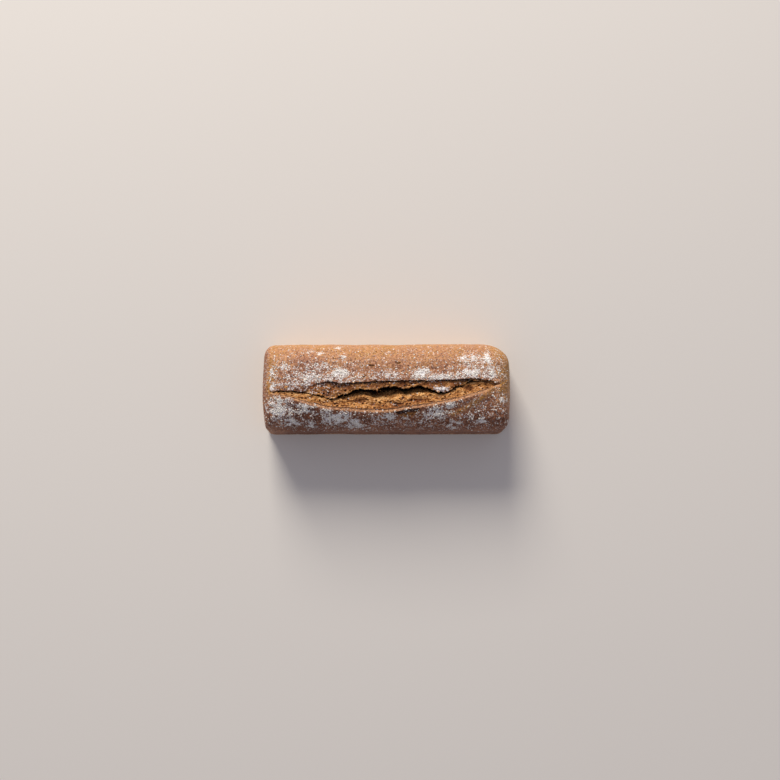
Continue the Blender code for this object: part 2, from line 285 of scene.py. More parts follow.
@functools.lru_cache(maxsize=None)
def splitLips(x):
    # the y of the near lip, the brink, the ledge's lip and the far lip
    near, brink, ledge, far = (along(lip, x) for lip in ("nearLip", "brink", "ledgeLip", "farLip"))
    least = splitForm["narrowest"]
    ledge = min(ledge, far - least)
    brink = min(brink, ledge - least)
    return splitLine(min(near, brink - least), brink, ledge, far)


@functools.lru_cache(maxsize=None)
def splitDepths(x):
    # depths of the floor, the ledge and the brink at x, and how far the ledge and the far lip hang over
    _, brink, ledge, far = splitLips(x)
    floor, shelf = along("floorDepth", x), along("ledgeDepth", x)
    opened = smooth(0, splitForm["endRun"], fromSplitEnd(x))
    hollow = splitForm["ledgeOverhang"] * smooth(0, 0.008, floor - shelf) * smooth(0.001, 0.006, far - ledge)
    tucked = splitForm["lipOverhang"] * max(splitForm["leastOverhang"], smooth(0, 0.005, shelf))
    brinkDepth = shelf + splitForm["brinkSlope"] * (ledge - brink)
    return splitDepth(floor, shelf, brinkDepth, hollow * opened, tucked * opened)


@functools.lru_cache(maxsize=None)
def rolledEdge(x):
    # the y where the near crust ends, after it has rolled over its lip
    lips = splitLips(x)
    roll = min(splitForm["roll"], (lips.brink - lips.near) * splitForm["mostRolled"])
    return lips.near + roll * smooth(0, splitForm["rollRun"], fromSplitEnd(x))


def rollDrop(x, y):
    # how far the rolled lip lies below the crown at y
    past = max(0.0, y - splitLips(x).near + splitForm["rollStart"])
    drop = 0.5 * past**2 / (past + splitForm["rollSharpness"])
    return drop * smooth(0, splitForm["rollRun"], fromSplitEnd(x))


def onPath(corners, share):
    # a point of the smooth path through the corners, share from 0 to 1
    last = len(corners) - 1
    i = min(int(share * last), last - 1)
    t = share * last - i
    four = [corners[int(clampTo(j, 0, last))] for j in (i - 1, i, i + 1, i + 2)]
    return [
        0.5 * (2 * b + t * (c - a + t * (2 * a - 5 * b + 4 * c - d + t * (3 * b - a - 3 * c + d))))
        for a, b, c, d in zip(*four)
    ]


def closedSkin(rings, turns, marks):
    # a closed mesh like a globe lying on its side: rings run from its left pole to its right one;
    # marks are the values that each of its points carries for the finish
    mesh = bmesh.new()
    bmesh.ops.create_uvsphere(mesh, u_segments=turns, v_segments=rings, radius=1)
    for mark in marks:
        mesh.verts.layers.float.new(mark)
    places = []
    for vert in mesh.verts:
        x, y, z = vert.co
        ring = round(math.atan2(math.hypot(x, y), -z) / math.pi * rings)
        turn = round(math.atan2(y, x) / (2 * math.pi) * turns) % turns
        places.append((vert, ring, turn))
    return mesh, places


def addPiece(name, mesh, finish):
    bmesh.ops.recalc_face_normals(mesh, faces=mesh.faces)
    for vert in mesh.verts:
        # nothing stands out of the loaf's own box
        vert.co = [clampTo(*bounds) for bounds in zip(vert.co, lowCorner, highCorner)]
    data = bpy.data.meshes.new(name)
    mesh.to_mesh(data)
    mesh.free()
    data.shade_smooth()
    data.materials.append(finish)
    piece = bpy.data.objects.new(name, data)
    bpy.context.scene.collection.objects.link(piece)
    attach(piece, "root")
    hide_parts("loaf")
    print(name, "has", sum(len(face.vertices) - 2 for face in data.polygons), "triangles")
    return piece


# Where flour lies on the top: (x, y, reach along, reach across, how thick from 0 to 1), lengths in mm.

flourDust = {
    "patches": (
        (-48, 19, 7.5, 4, 1.0), (-55, 20.5, 4, 3, 0.6), (37, 18, 8, 4.5, 0.95), (42, 21, 4, 3, 0.5),
        (61, 15, 15, 3.0, 0.66), (93, 18.5, 11, 4, 0.85), (86, 34, 3.5, 3, 0.9), (96, 34.5, 3.5, 3, 0.9),
        (111, 35, 3.5, 5.5, 0.95), (117, 20, 7, 6, 0.80),
        (-126, 18.5, 2.5, 3, 0.9), (-124, 3, 3, 4, 1.0), (-112, 25.5, 3.5, 3, 0.5),
        (-82, 15, 9, 3, 0.5), (-68, 26.5, 4.5, 2.5, 0.6), (-54, 47, 3.5, 1.6, 0.8),
        (-74, 41, 3, 2, 0.55), (-47, 35, 3, 2.5, 0.6), (-86, 43, 4.5, 2, 0.4),
        (2, 17.5, 9, 4, 0.45),
        (-121, -20, 8, 9, 1.0), (-111, -12.5, 7, 3.5, 0.75), (-92, -21, 13, 3.5, 0.75),
        (-105, -35.5, 6.5, 4, 0.85), (-84, -38.5, 4.5, 3, 0.7), (-54, -31, 11, 5, 0.85),
        (-34, -38, 9, 4.5, 0.8), (-20, -45, 2.5, 2.5, 0.6), (5, -28.5, 5, 3.5, 0.6),
        (51, -23, 6, 4, 0.85), (68, -17, 6, 3.5, 0.7), (106, -34, 6, 3.5, 0.6),
        (75, -39, 7, 4, 0.70), (128, -11, 5, 5.5, 0.7), (96, -27.5, 5, 3, 0.45), (58, -27, 5, 3, 0.4),
        (60, 0.5, 7.5, 3.2, 1.0),
    ),
    "dustings": (
        (-84, 17, 44, 13, 0.28), (-25, 15, 20, 5, 0.20), (4, 16, 16, 6, 0.22), (106, 25, 28, 13, 0.30),
        (-78, -26, 60, 16, 0.26), (20, -30, 42, 12, 0.20), (88, -24, 46, 18, 0.17),
        (-104, 5, 24, 7, 0.26), (-58, 11, 30, 4.0, 0.25), (60, 13.5, 28, 3.5, 0.45),
    ),
    "everywhere": 0.10,
    "unevenSpacing": 0.0060,
    "unevenFar": 0.5,
    "unevenNear": 1.4,
}


def flourAt(x, y, z):
    bare = 1 - flourDust["everywhere"]
    for px, py, reachX, reachY, thick in flourDust["patches"] + flourDust["dustings"]:
        off = ((x / mm - px) / reachX) ** 2 + ((y / mm - py) / reachY) ** 2
        if off < 6:
            bare *= 1 - thick * math.exp(-(off**1.2) * 0.75)
    level = smooth(loafForm["wallTop"] - 0.036, loafForm["wallTop"] - 0.006, z)
    uneven = mix(flourDust["unevenFar"], flourDust["unevenNear"], smooth(0.0, -0.015, y))
    clumped = 0.9 + uneven * bumps(x, y, z, flourDust["unevenSpacing"])
    return (1 - bare) * level * clampTo(clumped, 0.1, 1.2)


# Small tears in the crust: (x, y, length, width, depth, turn in degrees). Each has a steep far wall, where
# the crust broke, and climbs out slowly towards the near side.

smallTears = (
    (0.0237, -0.0222, 0.0280, 0.0092, 0.0036, 10),
    (-0.0160, 0.0276, 0.0080, 0.0032, 0.0018, -6),
    (0.0137, 0.0302, 0.0050, 0.0024, 0.0013, 14),
    (-0.0245, 0.0150, 0.0060, 0.0022, 0.0012, 24),
)


def smallTearAt(x, y):
    # (depth, how torn from 0 to 1)
    deepest, torn = 0.0, 0.0
    for tearX, tearY, length, width, depth, turn in smallTears:
        offX, offY = x - tearX, y - tearY
        if abs(offX) < length and abs(offY) < length:
            c, s = math.cos(math.radians(turn)), math.sin(math.radians(turn))
            u = 2 * (offX * c + offY * s) / length
            below = -(offY * c - offX * s) / width + 0.05 * ragged(x, 9.4)
            reach = 1 - min(1.0, abs(u)) ** 2.5
            if -0.10 < below and reach > 0.02:
                inside = 1 - below / reach
                if inside > 0:
                    wall = smooth(-0.10, 0.04, below)
                    deepest = max(deepest, depth * reach * wall * inside)
                    # painted shade: the tear is marked most torn, and so painted darkest, next to its far
                    # wall
                    climbing = mix(0.5, 1.0, smooth(0.45, 0.30, below))
                    torn = max(torn, wall * smooth(0.0, 0.3, inside) * climbing)
    return deepest, torn


# Pale bands, where the crust stretched as it rose: each runs along its points, (x, y) in metres.

paleBands = (
    {
        "points": ((0.073, -0.0262), (0.085, -0.0210), (0.097, -0.0140), (0.108, -0.0060), (0.117, 0.0020)),
        "width": 0.0034,
        "rise": 0.0005,
        "strength": 1.0,
    },
    {
        "points": ((0.1215, 0.0200), (0.1248, 0.0130), (0.1262, 0.0050), (0.1240, -0.0010)),
        "width": 0.0017,
        "rise": 0.0009,
        "strength": 1.0,
    },
    {
        "points": ((-0.1312, 0.0075), (-0.1300, 0.0010), (-0.1278, -0.0050)),
        "width": 0.0016,
        "rise": 0.0006,
        "strength": 1.0,
    },
)


def distanceTo(points, x, y):
    nearest = 1.0
    for (x0, y0), (x1, y1) in zip(points, points[1:]):
        dx, dy = x1 - x0, y1 - y0
        t = clampTo(((x - x0) * dx + (y - y0) * dy) / (dx * dx + dy * dy), 0.0, 1.0)
        nearest = min(nearest, math.hypot(x - x0 - dx * t, y - y0 - dy * t))
    return nearest


def paleAt(x, y):
    # (how pale from 0 to 1, how far the crust is raised)
    pale, raised = 0.0, 0.0
    for band in paleBands:
        if band["points"][0][0] - 0.01 < x < band["points"][-1][0] + 0.01:
            ridge = math.exp(-((distanceTo(band["points"], x, y) / band["width"]) ** 2)) * band["strength"]
            pale, raised = max(pale, ridge), max(raised, ridge * band["rise"])
    return pale, raised


# The crust: a closed skin over the whole loaf, with a plain trough that the crumb lies in.

crustSkin = {
    "rings": 440,
    "endRings": 22,
    "spans": (
        ("base", 6), ("nearWall", 40), ("nearTop", 62), ("trough", 18), ("farTop", 66), ("farWall", 34),
    ),
    "crowdLength": 0.3,
    "lipCrowding": 0.4,
    "troughBelow": 0.0036,
    "raggedLip": 0.0010,
    "goose": 0.00036,
    "gooseSpacing": 0.0036,
    "gooseWallTop": (0.30, 1.3),    # how much of it shows on the walls and on the top
    "grain": 0.00030,
    "grainSpacing": 0.0019,
    "grainWallTop": (0.35, 1.4),
    "pockHeight": 0.0006,
    "pockSpacing": 0.0060,
    "pockWallTop": (1.0, 0.6),
    "creaseHeight": 0.0002,
    "creaseSize": (0.05, 0.006),
    "coveredFrom": -0.074,    # left of here the crust parts from the ledge less and less
    "coveredTo": -0.096,
    # the pale foot is partly paler crust and partly a painted highlight
    "foot": 0.0080,           # height of the pale foot, where the loaf stood on the tin's floor
    "footWander": 0.012,      # how unevenly it ends
}


def crustRelief(x, y, z):
    # height of the crust's fine relief: rougher on top than on the walls, which took the tin's surface
    top = smooth(0.036, 0.062, z)
    skin = crustSkin
    goose = bumps(x, y, z, skin["gooseSpacing"]) * skin["goose"] * mix(*skin["gooseWallTop"], top)
    grain = bumps(x, y, z + 1.7, skin["grainSpacing"]) * skin["grain"] * mix(*skin["grainWallTop"], top)
    distances, centres = noise.voronoi(Vector((x, y, z)) / skin["pockSpacing"])
    rare = noise.noise(centres[0] * 3.7)
    pock = smooth(0.24, 0.05, distances[0]) if rare > 0.10 else 0.0
    wide, high = skin["creaseSize"]
    crease = abs(noise.noise(Vector((x / wide, y / wide, z / high)))) * (1 - top)
    pocked = pock * skin["pockHeight"] * mix(*skin["pockWallTop"], top)
    return goose + grain - pocked - crease * skin["creaseHeight"]


# How dark the top is from the near side to the far side: (y, from 0 golden to 1 darkest)
# partly real browning, and partly painted shade on the near side, which faces away from the light
browningAndShade = (
    (-0.030, 0.95), (-0.014, 0.82), (0.006, 0.70), (0.020, 0.56), (0.034, 0.40), (0.046, 0.26),
)


def brownAndShadeAt(x, y, z):
    # 0 where the crust is golden, 1 where it is darkest
    farSide = alongKeys(browningAndShade, y)
    left = smooth(-0.045, -0.090, x) * smooth(-0.115, -0.100, x) * smooth(0.048, 0.030, y)
    atEnd = smooth(0.112, 0.131, abs(x)) * smooth(-0.035, 0.005, y)
    brownAndShade = farSide + 0.20 * left
    brownAndShade = mix(brownAndShade, 0.06, atEnd)
    # painted shade: the left end is painted darker
    brownAndShade = mix(brownAndShade, 0.70, smooth(-0.1270, -0.1350, x))
    # the walls turn golden, all but the near wall, which keeps the top's dark colour as painted shade
    low = smooth(loafForm["wallTop"] - 0.016, 0.020, z) * smooth(-0.045, -0.030, y)
    return mix(brownAndShade, 0.26, low)


def coveredAt(x):
    return smooth(crustSkin["coveredFrom"], crustSkin["coveredTo"], x)


def crustFarLip(x):
    # where the crust's skin ends on the far side: at the left it still covers the ledge
    lips = splitLips(x)
    return mix(lips.far, lips.ledge, coveredAt(x))


def troughPath(x, near, far):
    # the crust's cut edges and the trough between them, as (y, depth below the crown)
    smoothNear, brink, ledge, smoothFar = splitLips(x)
    floor, shelf, brinkDepth, hollow, tucked = splitDepths(x)
    deeper = crustSkin["troughBelow"]
    slope, covered = brink - smoothNear, coveredAt(x)
    under = mix(tucked, hollow * 0.7, covered)
    step = mix(shelf, 0.0012, covered)
    back = mix(smoothFar + tucked, ledge + hollow, covered) + 0.001
    drop = rollDrop(x, near)
    return (
        (near, drop),
        (near + 0.0003, drop + 0.0005),
        (near + 0.0002, drop + 0.0016),
        (near - 0.0008, drop + 0.0032),
        (near + slope * 0.20, brinkDepth * 0.36 + deeper),
        (near + slope * 0.60, brinkDepth * 0.72 + deeper),
        (brink + 0.0005, brinkDepth + deeper),
        (ledge + hollow * 0.2, floor + deeper),
        (back, floor * 0.8 + deeper),
        (back, step + deeper),
        (far + under * 0.9, step * 0.8 + 0.0006),
        (far + under * 0.4, step * 0.4 + 0.0006),
        (far - 0.0002, 0.0006),
        (far, 0.0),
    )


def makeCrust():
    form = loafForm
    spans = [(name, k / count) for name, count in crustSkin["spans"] for k in range(count)]
    marks = ("flour", "brownAndShade", "torn", "lip")
    mesh, places = closedSkin(crustSkin["rings"], len(spans), marks)
    flour, brownAndShade, torn, lip = (mesh.verts.layers.float[mark] for mark in marks)
    endRings, rings = crustSkin["endRings"], crustSkin["rings"]
    halfLength, halfWidth, wallTop = form["halfLength"], form["halfWidth"], form["wallTop"]
    crowding = crustSkin["lipCrowding"]
    inTrough, names = [], []
    for vert, ring, turn in places:
        shrunk = min(1.0, ring / endRings, (rings - ring) / endRings)
        share = clampTo((ring - endRings) / (rings - 2 * endRings), 0.0, 1.0) * 2 - 1
        much = crustSkin["crowdLength"]
        x = ((1 - much) * share + much * math.sin(share * math.pi / 2)) * halfLength
        fade = smooth(0, 0.004, fromSplitEnd(x)) * crustSkin["raggedLip"]
        near = rolledEdge(x) + ragged(x, 1.3) * fade - movedBack
        far = crustFarLip(x) + ragged(x, 5.2) * fade - movedBack
        far = max(far, near + splitForm["narrowest"])
        name, t = spans[turn]
        if name == "base":
            y, z = mix(halfWidth, -halfWidth, t), 0.0
        elif name == "nearWall":
            y, z = -halfWidth, wallTop * t
        elif name == "farWall":
            y, z = halfWidth, wallTop * (1 - t)
        elif name == "nearTop":
            y, z = mix(-halfWidth, near, t * (1 + crowding * (1 - t))), wallTop
        elif name == "farTop":
            y, z = mix(halfWidth, far, (1 - t) * (1 + crowding * t)), wallTop
        else:
            y, z = mix(near, far, t), wallTop
        if shrunk < 1:
            y, z = y * shrunk, mix(wallTop / 2, z, shrunk)
        elif name == "trough" and t > 0 and fromSplitEnd(x) > 0:
            inTrough.append((vert, t, x, near + movedBack, far + movedBack))
        vert.co = onLoaf(x, y, z)
        names.append(name)
    bmesh.ops.recalc_face_normals(mesh, faces=mesh.faces)
    normals = [vert.normal.copy() for vert in mesh.verts]
    for vert, normal, name in zip(mesh.verts, normals, names):
        x, y, z = vert.co
        onTop = z > 0.05
        tearDepth, tornHere = smallTearAt(x, y) if onTop else (0.0, 0.0)
        near, far = splitLips(x).near, crustFarLip(x)
        inSplit = smooth(-0.002, 0.006, fromSplitEnd(x)) * onTop
        edge = 0.0003 * ragged(x, 2.6)
        atLip = smooth(-0.0014, 0.0002, y - near + edge) * inSplit if y < far - 0.0005 else 0.0
        pale, raised = paleAt(x, y) if z > 0.04 else (0.0, 0.0)
        vert[flour] = flourAt(x, y, z) * max(0.0, 1 - 1.6 * tornHere) * (1 - 0.7 * atLip) * (1 - 0.8 * pale)
        vert[lip] = atLip
        vert[torn] = tornHere
        vert[brownAndShade] = mix(brownAndShadeAt(x, y, z), 0.08, pale)
        rise = slowLumps(x, y, z) * smooth(0.0, form["lumpsFrom"], z) + raised - tearDepth
        rise += crustRelief(x, y, z) * smooth(0.0, 0.002, z)
        vert.co += normal * rise
        if name == "nearTop":
            vert.co.z -= rollDrop(x, y)
    for vert, t, x, near, far in inTrough:
        y, depth = onPath(troughPath(x, near, far), t)
        opened = smooth(0.0, 0.010, fromSplitEnd(x))
        y, depth = mix((near + far) / 2, y, opened), depth * opened
        surface = topHeight(x, y)
        vert.co = Vector((x, y, surface + slowLumps(x, y, surface) - depth))
        # painted shade: the crust's cut edges are marked torn, and so painted dark, as they drop into the
        # trough
        vert[torn] = max(vert[torn], smooth(0.0, 0.0012, depth))
        vert[flour] *= 1 - smooth(0.0, 0.001, depth)
    return mesh


# The torn crumb: a slope from the near lip down under the ledge, and the ledge itself.

crumbForm = {
    "seen": 150,
    "hidden": 12,
    "crag": 0.0026,
    "cragSpacing": 0.0080,
    "ridge": 0.0020,
    "ridgeLength": 0.025,
    "ridgeSpacing": 0.0067,
    "knob": 0.0012,
    "knobSpacing": 0.0038,
    "strand": 0.0010,
    "strandSpacing": 0.0023,
    "pore": 0.0018,
    "poreSpacing": 0.0028,
    "fine": 0.00020,
}

# Furrows and holes of the slope: (x, y, reach along, reach across, depth), in mm.

slopeDents = (
    (-108, -6.6, 6, 0.6, 0.5), (-88, -9.5, 7, 0.9, 0.7), (-70, -14.0, 7, 1.2, 1.0),
    (-55, -15.0, 7, 1.4, 1.1), (-44, -17.5, 6, 1.1, 0.9), (-29, -11.8, 7, 2.6, 2.0),
    (-14, -16.6, 5, 1.5, 1.1), (3, -12.6, 5, 1.6, 1.3), (11, -15.4, 6, 1.5, 1.7),
    (-2, -18.2, 4, 0.9, 0.8), (20, -9.6, 4, 1.2, 1.0), (34, -11.6, 9, 1.9, 2.4),
    (43, -15.5, 0.9, 0.8, 1.4), (46, -15.6, 0.8, 0.7, 1.3), (49.5, -13.0, 4.5, 1.1, 1.6),
    (57, -9.8, 3.5, 1.0, 1.0), (66, -9.6, 6, 0.9, 1.1), (78, -6.6, 5, 0.8, 0.8),
    (91, 2.2, 4.4, 2.8, 2.4), (108, 4.8, 5, 0.8, 0.6), (4, -16.0, 1.2, 1.0, 1.6),
    (8, -12.6, 1.1, 0.9, 1.4), (14, -17.2, 1.3, 0.9, 1.6), (18, -14.8, 1.0, 1.0, 1.4),
    (-1, -14.6, 1.2, 0.8, 1.3), (22, -17.0, 1.2, 0.8, 1.2), (26.5, -14.2, 1.0, 0.8, 1.2),
    (-20, -13.6, 1.2, 0.9, 1.2), (-38, -15.4, 1.3, 0.9, 1.2), (-62, -14.0, 1.2, 0.8, 1.0),
)

# Bits of crumb that hang from the ledge's lip, and notches in it: (x, half width, reach), in mm.

ledgeSpurs = (
    (-10.2, 0.7, 3.4), (75.8, 0.9, -2.2), (57.0, 0.8, 1.1),
    (67.5, 0.9, 0.9), (-24.0, 1.0, 0.9), (30.5, 0.8, 0.8),
)


def dentAt(x, y):
    dent = 0.0
    for px, py, reachX, reachY, depth in slopeDents:
        off = ((x / mm - px) / reachX) ** 2 + ((y / mm - py) / reachY) ** 2
        if off < 6:
            dent = max(dent, depth * mm * math.exp(-off))
    return dent


@functools.lru_cache(maxsize=None)
def ledgeEdge(x):
    _, _, ledge, far = splitLips(x)
    spurs = sum(reach * math.exp(-(((x / mm - at) / half) ** 2)) for at, half, reach in ledgeSpurs)
    wide = smooth(0.002, 0.008, far - ledge)
    return ledge + (ragged(x, 8.4) * 0.0013 - spurs * mm) * wide


def slopePath(x):
    _, brink, ledge, _ = splitLips(x)
    floor, shelf, brinkDepth, hollow, _ = splitDepths(x)
    gap, plunge, edge = floor - shelf, ledge - brink, rolledEdge(x)
    drop, slope = rollDrop(x, edge), brink - edge
    fall = brinkDepth - drop
    return (
        (edge - 0.0034, drop + 0.0044),
        (edge - 0.0012, drop + 0.0024),
        (edge - 0.0001, drop + 0.0005),
        (edge + slope * 0.20, drop + fall * 0.26),
        (edge + slope * 0.52, drop + fall * 0.62),
        (edge + slope * 0.78, drop + fall * 0.74),
        (brink, brinkDepth),
        (brink + plunge * 0.42, brinkDepth + (floor - brinkDepth) * 0.44),
        (ledge - plunge * 0.10, brinkDepth + (floor - brinkDepth) * 0.90),
        (ledge + hollow * 0.6, floor),
        (ledge + hollow, shelf + gap * 0.65),
        (ledge + hollow + 0.002, shelf + gap * 0.45),
    )


def ledgePath(x):
    _, _, ledge, far = splitLips(x)
    floor, shelf, _, hollow, tucked = splitDepths(x)
    tongue, gap, torn = far - ledge, floor - shelf, ledgeEdge(x)
    shelf *= 1 - 0.75 * coveredAt(x)
    under = 0.0030 * smooth(-0.082, -0.093, x)
    return (
        (far + tucked + 0.0030, shelf * 1.3 + 0.0010 + under),
        (far + tucked * 0.6, shelf * 1.50 + under),
        (torn + tongue * 0.80, shelf * 1.28 + under),
        (torn + tongue * 0.30, shelf * 0.84 + under),
        (torn + tongue * 0.03, shelf * 0.90 + under),
        (torn, shelf * 0.98 + gap * 0.05 + under),
        (torn + hollow * 0.10, shelf + gap * 0.12 + under),
        (torn + hollow * 0.35, shelf + gap * 0.28 + under * 0.5),
        (ledge + hollow * 0.9, shelf + gap * 0.62),
        (ledge + hollow + 0.0040, shelf + gap * 0.85),
    )


def slopeBack(x):
    # corners of the slope's lower face, clear of the cavity
    depths = splitDepths(x)
    inner = splitLips(x).ledge + depths.hollow + 0.0035
    return (inner, depths.floor + 0.004), (rolledEdge(x) - 0.0045, depths.floor * 0.5 + 0.006)


def ledgeBack(x):
    _, _, ledge, far = splitLips(x)
    floor, shelf, _, hollow, tucked = splitDepths(x)
    return (ledge + hollow + 0.0060, floor + 0.002), (far + tucked + 0.0050, (floor + shelf) / 2 + 0.003)


def slopeToastAndShade(x, y, deep):
    dent = smooth(0.0002, 0.0012, dentAt(x, y))
    pitted = math.exp(-(((x - 0.010) / 0.016) ** 2))
    low = smooth(0.0090, 0.0020, y - rolledEdge(x)) * (0.35 + 0.60 * pitted)
    # the dents are painted darker as shade; the rest is real toasting near the lip and at the split's ends
    return clampTo(low + 0.80 * dent + 0.3 * smooth(0.03, 0.0, fromSplitEnd(x)), 0, 1)


def paintedSlopeShade(x, y, deep):
    # painted shade: the crumb is painted darker from the brink to the ledge that hides it
    _, brink, ledge, _ = splitLips(x)
    return smooth(brink + (ledge - brink) * 0.05, mix(brink, ledge, 0.75), y) * smooth(0.0016, 0.0045, deep)


def paintedLedgeShade(x, y, deep):
    # painted shade: dark under the far lip, at the right end and on the face that turns down into the cavity
    far, shelf = splitLips(x).far, splitDepths(x).shelf
    underLip = 0.9 * smooth(far - 0.0022, far - 0.0008, y + 0.0004 * ragged(x, 4.4)) * (1 - coveredAt(x))
    atRight = 0.75 * smooth(0.080, 0.090, x) * smooth(-0.35, 0.25, bumps(x, y, 0.0, 0.004))
    return max(underLip, atRight, smooth(shelf + 0.0012, shelf + 0.0036, deep))


def ledgeToast(x, y, deep):
    atLip = smooth(0.0024, 0.0002, abs(y - splitLips(x).ledge)) * smooth(0.006, 0.002, deep)
    mottled = 0.8 * bumps(x, y, 0.0, 0.007)
    return clampTo(0.86 - 0.95 * atLip + mottled, 0, 1)


def makeCrumb(crumb):
    # a closed slab whose upper face is the torn surface along a path; its lower face stays inside the loaf
    form, rings, seen, hidden = crumbForm, crumb["rings"], crumbForm["seen"], crumbForm["hidden"]
    marks = ("pore", "toastAndShade", "flour", "deep")
    mesh, places = closedSkin(rings, seen + hidden, marks)
    pores, toastAndShade, flour, paintedShadeLayer = (mesh.verts.layers.float[mark] for mark in marks)
    buried = []
    for vert, ring, turn in places:
        x = mix(crumb["from"], crumb["to"], ring / rings)
        corners = crumb["path"](x)
        if turn <= seen:
            y, depth = onPath(corners, turn / seen)
        else:
            lower = (corners[-1], *crumb["back"](x), corners[0])
            t = (turn - seen) / hidden * 3
            i = min(int(t), 2)
            y, depth = (mix(a, b, t - i) for a, b in zip(lower[i], lower[i + 1]))
        sunk = 0.0035 * smooth(0.006, 0.0, fromSplitEnd(x))
        surface = topHeight(x, y)
        vert.co = (x, y, surface + slowLumps(x, y, surface) - depth - sunk)
        buried.append(turn > seen)
    bmesh.ops.recalc_face_normals(mesh, faces=mesh.faces)
    normals = [vert.normal.copy() for vert in mesh.verts]
    for vert, normal, inside in zip(mesh.verts, normals, buried):
        if inside:
            continue
        x, y, z = vert.co
        lips = splitLips(x)
        deep = topHeight(x, clampTo(y, lips.near, lips.far)) - z
        free = smooth(0.0, 0.008, deep) * smooth(0.0, 0.012, fromSplitEnd(x))
        crag = noise.noise(Vector((x * 0.6, y, 0.0)) / form["cragSpacing"]) * form["crag"]
        ridges = noise.noise(Vector((x / form["ridgeLength"], y / form["ridgeSpacing"], 2.7)))
        ridge = abs(ridges) * form["ridge"]
        # streaks pull the fine relief out along the loaf
        pulled = x * (1 - crumb["streaks"])
        knob = bumps(pulled, y, z, form["knobSpacing"]) * form["knob"]
        strand = (0.5 - 2 * abs(bumps(pulled, y, z + 0.9, form["strandSpacing"]))) * form["strand"]
        distances, centres = noise.voronoi(Vector((pulled, y, z)) / form["poreSpacing"])
        size = 0.30 + 0.28 * noise.noise(centres[0] * 2.9)
        pore = smooth(size, size * 0.35, distances[0])
        fine = bumps(x, y, z + 2.2, 0.0009) * form["fine"]
        atEnd = smooth(0.0, 0.008, fromSplitEnd(x))
        rough = crumb["rough"] * mix(0.45, 1.0, smooth(0.0, 0.004, deep)) * atEnd
        outward = (knob + strand - pore * form["pore"]) * rough + fine
        vert.co.z += (crag + ridge) * free * crumb["crags"]
        vert.co += normal * outward
        if crumb["dented"]:
            vert.co.z -= dentAt(x, y)
        vert[pores] = pore
        vert[toastAndShade] = crumb["toast"](x, y, deep)
        # painted shade, where the ledge and lips hide the crumb
        vert[paintedShadeLayer] = crumb["dark"](x, y, deep)
        if crumb["floury"] and normal.z > 0:
            vert[flour] = flourAt(x, y, 1.0) * smooth(0.007, 0.004, deep)
    return mesh


# Finishes

def hexColour(code):
    # an sRGB hex value as linear red, green, blue and alpha
    parts = [int(code[i : i + 2], 16) / 255 for i in (1, 3, 5)]
    linear = [c / 12.92 if c <= 0.04045 else ((c + 0.055) / 1.055) ** 2.4 for c in parts]
    return (*linear, 1.0)


def addNode(tree, kind, inputs, **settings):
    node = tree.nodes.new("ShaderNode" + kind)
    for name, value in settings.items():
        setattr(node, name, value)
    for name, value in inputs.items():
        if isinstance(value, bpy.types.NodeSocket):
            tree.links.new(value, node.inputs[name])
        else:
            node.inputs[name].default_value = value
    return node


def setStops(ramp, stops):
    elements = ramp.color_ramp.elements
    while len(elements) < len(stops):
        elements.new(0.5)
    for element, (position, code) in zip(elements, stops):
        element.position = position
        element.color = hexColour(code)


def newFinish(name):
    finish = bpy.data.materials.new(name)
    finish.use_nodes = True
    finish.node_tree.nodes.clear()
    return finish, finish.node_tree


crustColours = {
    "golden": "#C08E4A",
    "tan": "#CA966C",
    "reddish": "#AC785C",
    # the darkest crust, on the near side: partly browning, partly painted shade
    "dark": "#7C4E38",
    "bran": "#4A2C20",
    "lip": "#D8A678",
    "torn": "#B0783F",
    "paintedTearShade": "#45261A",
    "foot": "#E6CBA8",
    "flour": "#F4F5F8",
}


def flourMask(tree, where, amount, grain):
    # flour lies in single flecks 1 to 2 mm across, and closes up to a mottled cloud where it is thick
    cloud = addNode(
        tree, "TexNoise", {"Vector": where, "Scale": 1 / 0.0042, "Detail": 3.0, "Roughness": 0.6}
    )
    powder = addNode(
        tree, "TexNoise", {"Vector": where, "Scale": 1 / 0.0016, "Detail": 2.0, "Roughness": 0.6}
    )
    level = addNode(tree, "Math", {0: cloud.outputs["Fac"], 1: 0.85}, operation="MULTIPLY")
    level = addNode(
        tree, "Math", {0: powder.outputs["Fac"], 1: 1.25, 2: level.outputs[0]}, operation="MULTIPLY_ADD"
    )
    level = addNode(tree, "Math", {0: amount, 1: 0.62, 2: level.outputs[0]}, operation="MULTIPLY_ADD")
    thick = addNode(tree, "MapRange", {"Value": level.outputs[0], "From Min": 1.29, "From Max": 1.53})
    white = thick.outputs["Result"]
    for size, share in ((0.0026, 0.30), (0.0015, 0.50)):
        cells = addNode(tree, "TexVoronoi", {"Vector": where, "Scale": 1 / size, "Randomness": 1.0})
        chance = addNode(tree, "SeparateColor", {"Color": cells.outputs["Color"]}).outputs["Red"]
        likely = addNode(tree, "Math", {0: amount, 1: share, 2: 0.008}, operation="MULTIPLY_ADD")
        chosen = addNode(tree, "Math", {0: chance, 1: likely.outputs[0]}, operation="LESS_THAN")
        dot = addNode(
            tree,
            "MapRange",
            {"Value": cells.outputs["Distance"], "From Min": 0.44, "From Max": 0.26, "To Max": 0.85},
        )
        fleck = addNode(
            tree, "Math", {0: dot.outputs["Result"], 1: chosen.outputs[0]}, operation="MULTIPLY"
        )
        white = addNode(tree, "Math", {0: white, 1: fleck.outputs[0]}, operation="MAXIMUM").outputs[0]
    # the small pits of the crust stay clear of it
    level = addNode(tree, "MapRange", {"Value": grain, "From Min": 0.36, "From Max": 0.47, "To Min": 0.15})
    return addNode(tree, "Math", {0: white, 1: level.outputs["Result"]}, operation="MULTIPLY").outputs[0]


def blend(tree, share, under, over):
    return addNode(tree, "Mix", {0: share, 6: under, 7: over}, data_type="RGBA").outputs[2]


